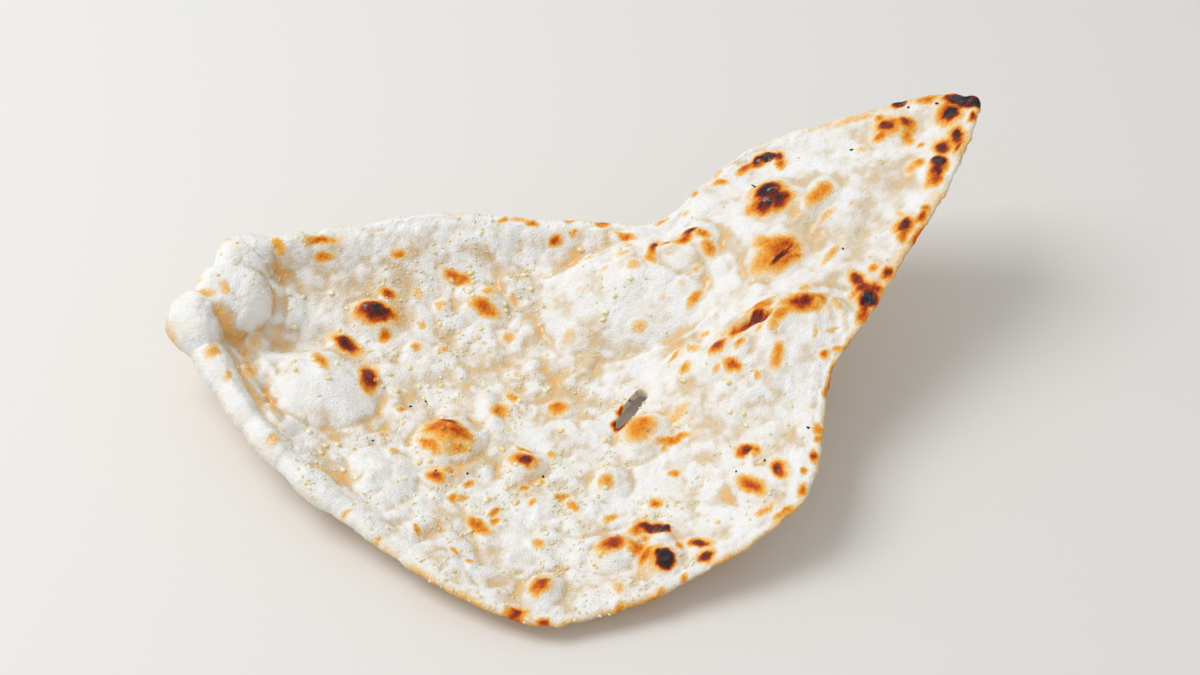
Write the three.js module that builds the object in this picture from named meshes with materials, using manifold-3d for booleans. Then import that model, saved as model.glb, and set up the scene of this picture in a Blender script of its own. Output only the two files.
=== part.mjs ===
// A tandoor-baked naan: one sheet of leavened dough, round at one end and pulled to a point at the other.
// It lies hollow side up on a small flat patch, with the pulled end curling up. Its lip is swollen, its face
// is blistered, one blister has torn through, and chopped garlic is baked on.
// Units are millimetres. x runs along the bread towards the pulled point, y across it and z up. The origin is
// the middle of the bread's bounding box, on the surface that the bread lies on.
import * as THREE from "three";
import { mergeVertices } from "three/addons/utils/BufferGeometryUtils.js";
import Module from "manifold-3d";

const { lerp, smoothstep, degToRad } = THREE.MathUtils;

// The sheet is measured outwards from the middle of its hollow, in shares of the way to the rim. Its
// underside would sink a little below the ground in the middle, and is pressed flat there.
const SHEET_THICKNESS = 4.2;
const HOLLOW = new THREE.Vector2(-41, -7);
const PATCH_SINK = 1.8;
const LIP_STARTS = 0.87;
const FOLDS_START = 0.2;
const FOLDS_FULL = 0.45;

// How steeply the bowl climbs: late and steep at the round end, sooner towards the pulled end
const ROUND_CLIMB = 2.6;
const PULLED_CLIMB = 1.4;

// The stretch of the rim, as a share of the way round, over which the bowl evens out the rim's corners
const EVENING = 0.1;

// The pulled end lies on a straight slope, which starts between these two places along x
const SLOPE = 0.36;
const SLOPE_HEIGHT = 24;
const SLOPE_FROM = -20;
const SLOPE_FULL = 60;
const SLOPE_ENDS = 0.7;

// The tear, and the garlic: how many bits, and their smallest and largest half-sizes
const TEAR = new THREE.Vector2(-17, -25);
const TEAR_TURN = 26;
const TEAR_CLEARANCE = 14;
const GARLIC = { bits: 84, long: [1.1, 1.8], wide: [0.9, 1.4], high: [0.8, 1.1] };
const SMALL_BLISTERS = 70;

// How finely the sheet is divided: rings of points, and steps round the edge of its lip
const RINGS = 24;
const LIP_STEPS = 4;

// The rim, walked anticlockwise from the pulled point: where its outer edge is, how high the middle of the
// lip stands, and how thick the lip is.
const RIM = [
  { x: 165, y: -5, z: 85, lip: 5 },
  { x: 161, y: 3, z: 83, lip: 5 },
  { x: 152, y: 12, z: 80, lip: 5 },
  { x: 124, y: 27, z: 70, lip: 4.5 },
  { x: 92, y: 42, z: 59, lip: 4.5 },
  { x: 76, y: 44, z: 54, lip: 4.5 },
  { x: 58, y: 43, z: 46, lip: 4.5 },
  { x: 44, y: 41, z: 40, lip: 5 },
  { x: 33, y: 43, z: 36, lip: 5 },
  { x: 17, y: 58, z: 33, lip: 5 },
  { x: 2, y: 68, z: 33, lip: 5 },
  { x: -19, y: 82, z: 34, lip: 6 },
  { x: -46, y: 96, z: 36, lip: 7 },
  { x: -82, y: 107, z: 35, lip: 7 },
  { x: -111, y: 111, z: 36, lip: 9 },
  { x: -128, y: 116, z: 36, lip: 11 },
  { x: -139, y: 109, z: 36, lip: 12 },
  { x: -152, y: 100, z: 35, lip: 12 },
  { x: -163, y: 92, z: 33, lip: 12 },
  { x: -165, y: 83, z: 31, lip: 12 },
  { x: -164, y: 66, z: 28, lip: 12 },
  { x: -163, y: 45, z: 25, lip: 11 },
  { x: -160, y: 21, z: 22, lip: 10 },
  { x: -153, y: -6, z: 18, lip: 9 },
  { x: -144, y: -27, z: 15, lip: 8 },
  { x: -134, y: -51, z: 12, lip: 7 },
  { x: -123, y: -73, z: 10, lip: 7 },
  { x: -101, y: -101, z: 8, lip: 6 },
  { x: -72, y: -111, z: 9, lip: 6 },
  { x: -40, y: -115, z: 14, lip: 6 },
  { x: -10, y: -116, z: 22, lip: 5.5 },
  { x: 8, y: -113, z: 29, lip: 5 },
  { x: 21, y: -103, z: 33, lip: 5 },
  { x: 31, y: -91, z: 36, lip: 5 },
  { x: 42, y: -78, z: 39, lip: 5 },
  { x: 50, y: -72, z: 45, lip: 5 },
  { x: 72, y: -62, z: 51, lip: 5 },
  { x: 100, y: -48, z: 62, lip: 5 },
  { x: 128, y: -35, z: 75, lip: 5 },
];

// Folds and hollows of the whole sheet: middle, half-length, half-width, turn in degrees, and how far the
// sheet rises there. A fold with a steep far side has a narrower half-width on that side.
const FOLDS = [
  { x: 36, y: -38, long: 40, wide: 42, far: 15, turn: -20, rise: 7.5 },
  { x: -147, y: 54, long: 34, wide: 9, turn: 84, rise: -5 },
  { x: -124, y: 74, long: 26, wide: 8, turn: -8, rise: -4 },
  { x: -6, y: 56, long: 34, wide: 10, turn: -24, rise: -4 },
  { x: -62, y: 90, long: 46, wide: 15, turn: -18, rise: 3 },
  { x: 80, y: -20, long: 36, wide: 16, turn: -14, rise: -4 },
];

// Blisters, which swell on the upper face only, given in the same way
const BLISTERS = [
  { x: 6, y: 22, long: 36, wide: 25, turn: -38, rise: 8 },
  { x: -121, y: 45, long: 24, wide: 22, turn: -23, rise: 9 },
  { x: -132, y: 95, long: 23, wide: 15, turn: 65, rise: 8 },
  { x: -88, y: -1, long: 17, wide: 14, turn: 0, rise: 6 },
  { x: -68, y: -27, long: 11, wide: 9, turn: 0, rise: 4 },
  { x: -120, y: -6, long: 18, wide: 14, turn: 70, rise: 3.5 },
  { x: -118, y: -58, long: 17, wide: 13, turn: 60, rise: 3.5 },
  { x: -86, y: 70, long: 13, wide: 9, turn: -28, rise: 4 },
  { x: -43, y: 56, long: 13, wide: 9, turn: -55, rise: 3 },
  { x: -20, y: -40, long: 13, wide: 11, turn: 0, rise: 4 },
  { x: -42, y: -52, long: 10, wide: 9, turn: 0, rise: 3 },
  { x: -93, y: -88, long: 13, wide: 9, turn: 30, rise: 4 },
  { x: -59, y: -85, long: 12, wide: 9, turn: 0, rise: 4 },
  { x: -46, y: -98, long: 15, wide: 9, turn: 68, rise: 4.5 },
  { x: -2, y: -94, long: 14, wide: 9, turn: -75, rise: 3.5 },
  { x: 18, y: -38, long: 13, wide: 9, turn: -20, rise: 3 },
  { x: 38, y: 18, long: 14, wide: 12, turn: -20, rise: 4 },
  { x: 75, y: 14, long: 14, wide: 11, turn: -40, rise: 4.5 },
  { x: 61, y: -12, long: 15, wide: 12, turn: -10, rise: 4 },
  { x: 88, y: 2, long: 12, wide: 10, turn: 0, rise: 3 },
  { x: 131, y: 8, long: 12, wide: 9, turn: -20, rise: 3.5 },
  { x: 129, y: -22, long: 12, wide: 8, turn: 60, rise: 3.5 },
];

// Random numbers that come out the same every time
function seededRandom(seed) {
  let state = seed;
  return () => {
    state = (state * 1664525 + 1013904223) % 4294967296;
    return state / 4294967296;
  };
}

// Small blisters, scattered evenly over the bread's bounding box; those that miss the bread do nothing
const scatter = seededRandom(3);
const smallBlisters = Array.from({ length: SMALL_BLISTERS }, () => ({
  x: lerp(-155, 155, scatter()),
  y: lerp(-112, 108, scatter()),
  long: lerp(8, 13, scatter()),
  wide: lerp(6, 9, scatter()),
  turn: 180 * scatter(),
  rise: lerp(0.8, 2.2, scatter()),
}));

const rimCurve = new THREE.CatmullRomCurve3(
  RIM.map((p) => new THREE.Vector3(p.x, p.y, p.z)),
  true,
  "centripetal",
);
const lipCurve = new THREE.CatmullRomCurve3(
  RIM.map((p) => new THREE.Vector3(p.x, p.y, p.lip)),
  true,
  "centripetal",
);

const wrap = (share) => ((share % 1) + 1) % 1;

// The rim a share t of the way round: its outer edge, the direction out of it, and the lip's thickness
function rimAt(t) {
  const along = rimCurve.getTangent(t);
  return {
    edge: rimCurve.getPoint(t),
    out: new THREE.Vector2(along.y, -along.x).normalize(),
    lip: lipCurve.getPoint(t).z,
  };
}

// The lip's height and its distance from the hollow, evened out over a stretch of the rim to each side
function rimAround(t, stretch) {
  const weights = [1, 2, 3, 4, 3, 2, 1];
  const around = { height: 0, distance: 0 };
  let total = 0;
  weights.forEach((weight, i) => {
    const point = rimCurve.getPoint(wrap(t + ((i - 3) / 3) * stretch));
    around.height += weight * point.z;
    around.distance += weight * Math.hypot(point.x - HOLLOW.x, point.y - HOLLOW.y);
    total += weight;
  });
  return { height: around.height / total, distance: around.distance / total };
}

// How far a dome rises at a place: full height in its middle, nothing at its outline
function domeRise(dome, x, y) {
  const turn = degToRad(dome.turn);
  const dx = x - dome.x;
  const dy = y - dome.y;
  const u = dx * Math.cos(turn) + dy * Math.sin(turn);
  const v = dy * Math.cos(turn) - dx * Math.sin(turn);
  const wide = v > 0 && dome.far ? dome.far : dome.wide;
  const reach = Math.hypot(u / dome.long, v / wide);
  return reach < 1 ? dome.rise * Math.pow(1 - reach * reach, 1.2) : 0;
}

const totalRise = (domes, x, y) => domes.reduce((sum, dome) => sum + domeRise(dome, x, y), 0);

// Both faces of the sheet a share s of the way from the hollow to the lip, at rim share t
function sheetAt(s, t) {
  const { edge, out, lip } = rimAt(t);
  const x = lerp(HOLLOW.x, edge.x - (out.x * lip) / 2, s);
  const y = lerp(HOLLOW.y, edge.y - (out.y * lip) / 2, s);

  // The bowl stays flat and then climbs to its lip
  const around = rimAround(t, EVENING * (1 - s));
  const distance = Math.hypot(edge.x - HOLLOW.x, edge.y - HOLLOW.y);
  const share = Math.min(1, (s * distance) / around.distance);
  const pulled = smoothstep((edge.x - HOLLOW.x) / distance, -0.2, 0.9);
  const climb = Math.pow(share, lerp(ROUND_CLIMB, PULLED_CLIMB, pulled));
  const bowl = climb * (around.height - lip / 2 + PATCH_SINK) - PATCH_SINK;

  const onSlope = smoothstep(x, SLOPE_FROM, SLOPE_FULL) * (1 - smoothstep(s, SLOPE_ENDS, 1));
  const base = lerp(bowl, SLOPE_HEIGHT + SLOPE * x, onSlope);
  const fade = 1 - smoothstep(s, LIP_STARTS, 1);
  const folds = totalRise(FOLDS, x, y) * fade * smoothstep(s, FOLDS_START, FOLDS_FULL);
  const under = Math.max(0, base + folds);

  const thickness = lerp(SHEET_THICKNESS, lip, 1 - fade);
  const swelling = totalRise(BLISTERS, x, y) + totalRise(smallBlisters, x, y);
  return { x, y, under, top: under + thickness + swelling * fade };
}

// The sheet as one closed skin: rings of points with six more in each ring than in the last, for the top
// and for the underside, and a half-round lip between the outermost two
function sheetGeometry() {
  const positions = [];
  const triangles = [];
  const addPoint = (x, y, z) => positions.push(x, y, z) / 3 - 1;

  function ringsOf(face) {
    return Array.from({ length: RINGS + 1 }, (_, ring) => {
      const count = Math.max(1, 6 * ring);
      return Array.from({ length: count }, (__, i) => {
        const p = sheetAt(ring / RINGS, i / count);
        return addPoint(p.x, p.y, p[face]);
      });
    });
  }

  // Fills between each ring and the next one out, a sixth of the way round at a time
  function fillRings(rings, facesUp) {
    const addFace = (a, b, c) => triangles.push(a, ...(facesUp ? [b, c] : [c, b]));
    for (let ring = 1; ring <= RINGS; ring += 1) {
      const inner = rings[ring - 1];
      const outer = rings[ring];
      for (let k = 0; k < outer.length; k += 1) {
        const sixth = Math.floor(k / ring);
        const a = outer[k];
        const b = outer[(k + 1) % outer.length];
        const c = inner[(k - sixth) % inner.length];
        addFace(a, b, c);
        if ((k + 1) % ring !== 0) {
          addFace(b, inner[(k - sixth + 1) % inner.length], c);
        }
      }
    }
  }

  const topRings = ringsOf("top");
  const underRings = ringsOf("under");
  fillRings(topRings, true);
  fillRings(underRings, false);

  const around = 6 * RINGS;
  const lipRings = [topRings[RINGS]];
  for (let step = 1; step < LIP_STEPS; step += 1) {
    const angle = Math.PI * (0.5 - step / LIP_STEPS);
    const ring = Array.from({ length: around }, (_, i) => {
      const t = i / around;
      const { out, lip } = rimAt(t);
      const { x, y, top, under } = sheetAt(1, t);
      const reach = (Math.cos(angle) * lip) / 2;
      const height = (top + under) / 2 + (Math.sin(angle) * (top - under)) / 2;
      return addPoint(x + out.x * reach, y + out.y * reach, height);
    });
    lipRings.push(ring);
  }
  lipRings.push(underRings[RINGS]);
  for (let step = 0; step < LIP_STEPS; step += 1) {
    for (let i = 0; i < around; i += 1) {
      const next = (i + 1) % around;
      triangles.push(lipRings[step][i], lipRings[step + 1][i], lipRings[step][next]);
      triangles.push(lipRings[step][next], lipRings[step + 1][i], lipRings[step + 1][next]);
    }
  }

  const geometry = new THREE.BufferGeometry();
  geometry.setAttribute("position", new THREE.Float32BufferAttribute(positions, 3));
  geometry.setIndex(triangles);
  return geometry;
}

// The tear, a ragged slot that goes right through where a blister burst
function tearGeometry() {
  const outline = new THREE.SplineCurve([
    new THREE.Vector2(10, 1),
    new THREE.Vector2(4, 3),
    new THREE.Vector2(-3, 2.4),
    new THREE.Vector2(-9.5, 0.5),
    new THREE.Vector2(-6, -2.4),
    new THREE.Vector2(1, -2.2),
    new THREE.Vector2(8, -2.6),
    new THREE.Vector2(10, 1),
  ]);
  const shape = new THREE.Shape(outline.getPoints(14).slice(0, -1));
  const slot = new THREE.ExtrudeGeometry(shape, { depth: 60, bevelEnabled: false });
  slot.rotateZ(degToRad(TEAR_TURN));
  slot.translate(TEAR.x, TEAR.y, -10);
  return slot;
}

// Bits of chopped garlic, half sunk in the upper face: thick on the round end, few towards the point
function garlicGeometries() {
  const random = seededRandom(7);
  const pick = ([least, most]) => lerp(least, most, random());
  const bits = [];
  while (bits.length < GARLIC.bits) {
    const { x, y, top } = sheetAt(0.9 * Math.sqrt(random()), random());
    const wanted = smoothstep(-x, -90, 70) ** 1.5;
    const bit = new THREE.IcosahedronGeometry(1, 0);
    bit.scale(pick(GARLIC.long), pick(GARLIC.wide), pick(GARLIC.high));
    bit.rotateX(0.8 * random());
    bit.rotateZ(2 * Math.PI * random());
    bit.translate(x, y, top + 0.2);
    const overTear = Math.hypot(x - TEAR.x, y - TEAR.y) < TEAR_CLEARANCE;
    if (random() < wanted && !overTear) {
      bits.push(bit);
    }
  }
  return bits;
}

const wasm = await Module();
wasm.setup();

function toManifold(geometry) {
  const bare = geometry.clone();
  bare.deleteAttribute("normal");
  bare.deleteAttribute("uv");
  const merged = mergeVertices(bare, 1e-4);
  return new wasm.Manifold(
    new wasm.Mesh({
      numProp: 3,
      vertProperties: new Float32Array(merged.getAttribute("position").array),
      triVerts: new Uint32Array(merged.index.array),
    }),
  );
}

function toGeometry(solid) {
  const mesh = solid.getMesh();
  const geometry = new THREE.BufferGeometry();
  geometry.setAttribute("position", new THREE.BufferAttribute(mesh.vertProperties, 3));
  geometry.setIndex(new THREE.BufferAttribute(mesh.triVerts, 1));
  geometry.computeVertexNormals();
  return geometry;
}

const torn = toManifold(sheetGeometry()).subtract(toManifold(tearGeometry()));
const garnished = garlicGeometries().reduce((solid, bit) => solid.add(toManifold(bit)), torn);

const naan = new THREE.Mesh(
  toGeometry(garnished),
  new THREE.MeshStandardMaterial({ color: 0xece0c8, roughness: 0.7, metalness: 0 }),
);
naan.name = "naan";

const bread = new THREE.Group();
bread.add(naan);

export default bread;
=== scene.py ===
import math
import random

import bmesh
import bpy
import numpy as np
from mathutils import Matrix, Vector, noise
from mathutils.bvhtree import BVHTree


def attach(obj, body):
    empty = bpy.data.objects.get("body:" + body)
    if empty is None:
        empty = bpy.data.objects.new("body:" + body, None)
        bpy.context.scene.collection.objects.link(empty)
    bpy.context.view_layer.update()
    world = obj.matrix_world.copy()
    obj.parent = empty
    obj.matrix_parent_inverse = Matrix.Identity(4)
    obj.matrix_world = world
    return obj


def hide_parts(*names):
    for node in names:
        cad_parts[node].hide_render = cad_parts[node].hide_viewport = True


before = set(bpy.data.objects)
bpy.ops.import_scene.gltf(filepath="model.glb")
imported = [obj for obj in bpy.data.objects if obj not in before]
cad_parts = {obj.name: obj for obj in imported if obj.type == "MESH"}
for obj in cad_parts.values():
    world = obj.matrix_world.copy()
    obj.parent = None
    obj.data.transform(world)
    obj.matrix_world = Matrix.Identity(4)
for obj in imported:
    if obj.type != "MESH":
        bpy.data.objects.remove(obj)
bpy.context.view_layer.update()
MM = 0.001

# %% [markdown]
# The camera looks down at the bread from the front left, at about 45 degrees. It comes first, so that each
# later step can be looked at from the right place.
# %% Camera
EYE = Vector((-295, -482, 586)) * MM
TARGET = Vector((-12, 8, 20)) * MM
LENS = 57.6


def make_camera():
    data = bpy.data.cameras.new("camera")
    data.lens = LENS
    camera = bpy.data.objects.new("camera", data)
    camera.location = EYE
    camera.rotation_euler = (TARGET - EYE).to_track_quat("-Z", "Y").to_euler()
    bpy.context.scene.collection.objects.link(camera)
    bpy.context.scene.camera = camera
    return camera


camera = make_camera()
print("The camera is", round((TARGET - camera.location).length / MM), "mm from the bread")

# %% [markdown]
# The bread's form comes from a few measures: the rim, walked anticlockwise from the pulled point, and the
# domes on its face. They are the same measures that shaped the solid, in millimetres, so the dressed bread
# has its form. Each row of the rim is x, y, the height of the lip's middle, and the lip's thickness.
# %% Measures of the sheet
RIM = np.array([
    (165, -5, 85, 5), (161, 3, 83, 5), (152, 12, 80, 5), (124, 27, 70, 4.5), (92, 42, 59, 4.5),
    (76, 44, 54, 4.5), (58, 43, 46, 4.5), (44, 41, 40, 5), (33, 43, 36, 5), (17, 58, 33, 5),
    (2, 68, 33, 5), (-19, 82, 34, 6), (-46, 96, 36, 7), (-82, 107, 35, 7), (-111, 111, 36, 9),
    (-128, 116, 36, 11), (-139, 109, 36, 12), (-152, 100, 35, 12), (-163, 92, 33, 12), (-165, 83, 31, 12),
    (-164, 66, 28, 12), (-163, 45, 25, 11), (-160, 21, 22, 10), (-153, -6, 18, 9), (-144, -27, 15, 8),
    (-134, -51, 12, 7), (-123, -73, 10, 7), (-101, -101, 8, 6), (-72, -111, 9, 6), (-40, -115, 14, 6),
    (-10, -116, 22, 5.5), (8, -113, 29, 5), (21, -103, 33, 5), (31, -91, 36, 5), (42, -78, 39, 5),
    (50, -72, 45, 5), (72, -62, 51, 5), (100, -48, 62, 5), (128, -35, 75, 5),
])
SHEET_THICKNESS = 4.2
HOLLOW = np.array([-41, -7])
PATCH_SINK = 1.8
LIP_STARTS = 0.87
EVENING = 0.1
print("The rim has", len(RIM), "points round", round(np.ptp(RIM[:, 0])), "by", round(np.ptp(RIM[:, 1])), "mm")

# %% [markdown]
# A dome is a middle, a half-length, a half-width, a turn in degrees and a rise. Folds move both faces of
# the sheet, and a fold may fall more steeply on its far side. Blisters swell on the upper face only.
# %% Folds and blisters
FOLDS = [
    (36, -38, 40, 42, -20, 7.5, 15), (-147, 54, 34, 9, 84, -5), (-124, 74, 26, 8, -8, -4),
    (-6, 56, 34, 10, -24, -4), (-62, 90, 46, 15, -18, 3), (80, -20, 36, 16, -14, -4),
]
BLISTERS = [
    (6, 22, 36, 25, -38, 8), (-121, 45, 24, 22, -23, 9), (-132, 95, 23, 15, 65, 8),
    (-88, -1, 17, 14, 0, 6), (-68, -27, 11, 9, 0, 4), (-120, -6, 18, 14, 70, 3.5),
    (-118, -58, 17, 13, 60, 3.5), (-86, 70, 13, 9, -28, 4), (-43, 56, 13, 9, -55, 3),
    (-20, -40, 13, 11, 0, 4), (-42, -52, 10, 9, 0, 3), (-93, -88, 13, 9, 30, 4), (-59, -85, 12, 9, 0, 4),
    (-46, -98, 15, 9, 68, 4.5), (-2, -94, 14, 9, -75, 3.5), (18, -38, 13, 9, -20, 3),
    (38, 18, 14, 12, -20, 4), (75, 14, 14, 11, -40, 4.5), (61, -12, 15, 12, -10, 4), (88, 2, 12, 10, 0, 3),
    (131, 8, 12, 9, -20, 3.5), (129, -22, 12, 8, 60, 3.5),
]


def dome_reach(dome, x, y):
    turn = math.radians(dome[4])
    u = (x - dome[0]) * math.cos(turn) + (y - dome[1]) * math.sin(turn)
    v = (y - dome[1]) * math.cos(turn) - (x - dome[0]) * math.sin(turn)
    far = dome[6] if len(dome) > 6 else dome[3]
    return np.hypot(u / dome[2], v / np.where(v > 0, far, dome[3]))


def dome_rises(domes, x, y, roundness=1.2):
    total = np.zeros_like(x)
    for dome in domes:
        near = (np.abs(x - dome[0]) < 45) & (np.abs(y - dome[1]) < 45)
        inside = np.clip(1 - dome_reach(dome, x[near], y[near]) ** 2, 0, 1)
        total[near] += dome[5] * inside ** roundness
    return total


print(len(FOLDS), "folds and", len(BLISTERS), "blisters")

# %% [markdown]
# Between those, small blisters are scattered by a rule: the same simple random numbers as in the solid, so
# that both have the same ones.
# %% Small blisters
SMALL_BLISTERS = 70


def seeded_random(seed):
    state = seed
    while True:
        state = (state * 1664525 + 1013904223) % 4294967296
        yield state / 4294967296


def scattered_blisters():
    draw = seeded_random(3)
    ranges = ((-155, 155), (-112, 108), (8, 13), (6, 9), (0, 180), (0.8, 2.2))
    return [
        [low + (high - low) * next(draw) for low, high in ranges]
        for _ in range(SMALL_BLISTERS)
    ]


small_blisters = scattered_blisters()
print("The first small blister is at", [round(value) for value in small_blisters[0][:2]])

# %% [markdown]
# The rim is a closed curve through its points. This is the centripetal Catmull-Rom curve: it passes
# through every point and makes no loops where points lie close together.
# %% The rim as a curve
def closed_curve(points, share):
    """Places on the closed curve through points, each a share of the way round."""
    count = len(points)
    place = (share % 1) * count
    first = np.floor(place).astype(int)
    w = (place - first)[:, None]
    p0, p1, p2, p3 = (points[(first + step) % count] for step in (-1, 0, 1, 2))
    d0, d1, d2 = (
        np.sum((b - a) ** 2, axis=1)[:, None] ** 0.25 for a, b in ((p0, p1), (p1, p2), (p2, p3))
    )
    m1 = d1 * ((p1 - p0) / d0 - (p2 - p0) / (d0 + d1) + (p2 - p1) / d1)
    m2 = d1 * ((p2 - p1) / d1 - (p3 - p1) / (d1 + d2) + (p3 - p2) / d2)
    return p1 + m1 * w + (3 * (p2 - p1) - 2 * m1 - m2) * w**2 + (2 * (p1 - p2) + m1 + m2) * w**3


def even_share(share):
    """Turns a share of the rim's length into the curve's own share, so that points lie evenly."""
    table = np.linspace(0, 1, 4000)
    steps = np.linalg.norm(np.diff(closed_curve(RIM[:, :3], table), axis=0), axis=1)
    length = np.concatenate([[0], np.cumsum(steps)])
    return np.interp(share % 1, length / length[-1], table)


def lip_thickness(t):
    return closed_curve(RIM[:, [0, 1, 3]], t)[:, 2]


def rim_at(t):
    """The rim's edge, the direction out of it, and the lip's thickness."""
    small = 1e-4
    edge = closed_curve(RIM[:, :3], t)
    along = closed_curve(RIM[:, :3], t + small) - closed_curve(RIM[:, :3], t - small)
    out = np.stack([along[:, 1], -along[:, 0]], axis=1)
    out /= np.linalg.norm(out, axis=1)[:, None]
    return edge, out, lip_thickness(t)


print("Halfway round, the rim is at", rim_at(np.array([0.5]))[0].round().tolist())

# %% [markdown]
# Every point of the sheet has a share s of the way from the middle of the hollow to the rim, a share t of
# the way round, and a side: 1 on the upper face, -1 on the underside, and in between round the edge of the
# lip. The bowl lies flat in its middle and climbs to the lip, late at the round end and sooner at the
# pulled one, where the sheet is a slope.
# %% The sheet's form
CLIMB = (2.6, 1.4)
SLOPE_HEIGHT = 24
SLOPE = 0.36


def smoothstep(x, low, high):
    share = np.clip((x - low) / (high - low), 0, 1)
    return share * share * (3 - 2 * share)


def lerp(a, b, share):
    return a + (b - a) * share


def rim_around(t, stretch):
    """The lip's height and distance from the hollow, evened out over a stretch of the rim."""
    total = np.zeros((len(t), 2))
    weights = (1, 2, 3, 4, 3, 2, 1)
    for i, weight in enumerate(weights):
        point = closed_curve(RIM[:, :3], t + (i - 3) / 3 * stretch)
        distance = np.linalg.norm(point[:, :2] - HOLLOW, axis=1)
        total += weight * np.stack([point[:, 2], distance], axis=1)
    return (total / sum(weights)).T


def sheet_at(s, t, side):
    """Places in millimetres, before any fine relief."""
    edge, out, lip = rim_at(t)
    middle = edge[:, :2] - out * lip[:, None] / 2
    x, y = lerp(HOLLOW, middle, s[:, None]).T

    height, spread = rim_around(t, EVENING * (1 - s))
    reach = np.linalg.norm(edge[:, :2] - HOLLOW, axis=1)
    share = np.minimum(1, s * reach / spread)
    pulled = smoothstep((edge[:, 0] - HOLLOW[0]) / reach, -0.2, 0.9)
    bowl = share ** lerp(*CLIMB, pulled) * (height - lip / 2 + PATCH_SINK) - PATCH_SINK

    on_slope = smoothstep(x, -20, 60) * (1 - smoothstep(s, 0.7, 1))
    base = lerp(bowl, SLOPE_HEIGHT + SLOPE * x, on_slope)
    fade = 1 - smoothstep(s, LIP_STARTS, 1)
    folds = dome_rises(FOLDS, x, y) * fade * smoothstep(s, 0.2, 0.45)
    under = np.maximum(0, base + folds)
    thickness = lerp(SHEET_THICKNESS, lip, 1 - fade)
    swelling = dome_rises(BLISTERS, x, y) + dome_rises(small_blisters, x, y)
    top = under + thickness + swelling * fade

    round_out = np.sqrt(np.clip(1 - side**2, 0, 1)) * lip / 2
    x, y = np.stack([x, y]) + out.T * round_out
    return np.stack([x, y, lerp(under, top, (1 + side) / 2)], axis=1)


probe = sheet_at(np.array([0.0, 1.0]), np.array([0.0, 0.0]), np.array([1.0, 0.0]))
print("The middle of the hollow and the point are at", probe.round(1).tolist())

# %% [markdown]
# The mesh starts as two flat grids, a fine one for the face that shows and a coarser one for the
# underside. Pulling a square grid onto a disc keeps its cells even and needs no pole in the middle.
# Between the two discs, the lip is three extruded rings and a bridge. All that is kept at each point is s,
# t and side. The edges of a ring are gathered in a dictionary, which keeps their order; a set would mix
# them anew in each run.
# %% Two discs and a lip
FINE = 284
COARSE = 100
LIP_SIDES = (0.71, 0.0, -0.71)
LIP_BULGE = 0.02


def add_disc(bread, segments, side, layers):
    made = bmesh.ops.create_grid(bread, x_segments=segments, y_segments=segments, size=1)
    for vertex in made["verts"]:
        a, b, _ = vertex.co
        u = a * math.sqrt(1 - b * b / 2)
        v = b * math.sqrt(1 - a * a / 2)
        vertex[layers["s"]] = min(1, math.hypot(u, v))
        vertex[layers["around"]] = (math.atan2(v, u) / math.tau) % 1
        vertex[layers["side"]] = side
        vertex.co = (u, v, side)
    if side < 0:
        faces = {face for vertex in made["verts"] for face in vertex.link_faces}
        bmesh.ops.reverse_faces(bread, faces=list(faces))
    edges = (edge for vertex in made["verts"] for edge in vertex.link_edges)
    return list(dict.fromkeys(edge for edge in edges if edge.is_boundary))


def closed_sheet():
    bread = bmesh.new()
    layers = {name: bread.verts.layers.float.new(name) for name in ("s", "around", "side")}
    ring = add_disc(bread, FINE, 1, layers)
    under_ring = add_disc(bread, COARSE, -1, layers)
    for side in LIP_SIDES:
        made = bmesh.ops.extrude_edge_only(bread, edges=ring)["geom"]
        ring = [item for item in made if isinstance(item, bmesh.types.BMEdge) and item.is_boundary]
        for vertex in {vertex for edge in ring for vertex in edge.verts}:
            vertex[layers["side"]] = side
            reach = 1 + LIP_BULGE * math.sqrt(1 - side * side)
            vertex.co = (vertex.co.x * reach, vertex.co.y * reach, side)
    bmesh.ops.bridge_loops(bread, edges=ring + under_ring)
    return bread, layers


bread, layers = closed_sheet()
open_edges = sum(not edge.is_manifold for edge in bread.edges)
print(len(bread.faces), "faces, and", open_edges, "open edges")

# %% [markdown]
# Now each point gets its place. The tear is a slot where a blister burst: the faces over it are deleted
# from both sides of the sheet, the points left on its edge move to its outline, and a bridge closes its
# wall.
# %% Shape and tear
TEAR = np.array([-17, -25])
TEAR_TURN = math.radians(26)
TEAR_REACH = 13
TEAR_OUTLINE = np.array([(10.5, 1.4), (4, 3.6), (-3, 3.2), (-9.5, 1), (-6, -3), (1, -3), (8.5, -3.2)])


def tear_radius(angle):
    """How far the tear reaches from its middle, in a direction."""
    outline = closed_curve(TEAR_OUTLINE, np.linspace(0, 1, 200))
    angles = np.arctan2(outline[:, 1], outline[:, 0]) + TEAR_TURN
    order = np.argsort(angles)
    return np.interp(angle, angles[order], np.hypot(*outline[order].T), period=math.tau)


def place_points(bread, layers):
    """Moves each point of the discs and the lip to its place on the sheet, in millimetres."""
    values = np.array([[vertex[layers[name]] for name in ("s", "around", "side")] for vertex in bread.verts])
    places = sheet_at(values[:, 0], even_share(values[:, 1]), values[:, 2])
    for vertex, place in zip(bread.verts, places):
        vertex.co = place


def from_tear(co):
    """How far a point is from the middle of the tear, and how far the tear reaches there."""
    dx, dy = co.x - TEAR[0], co.y - TEAR[1]
    return math.hypot(dx, dy), float(tear_radius(math.atan2(dy, dx)))


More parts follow.
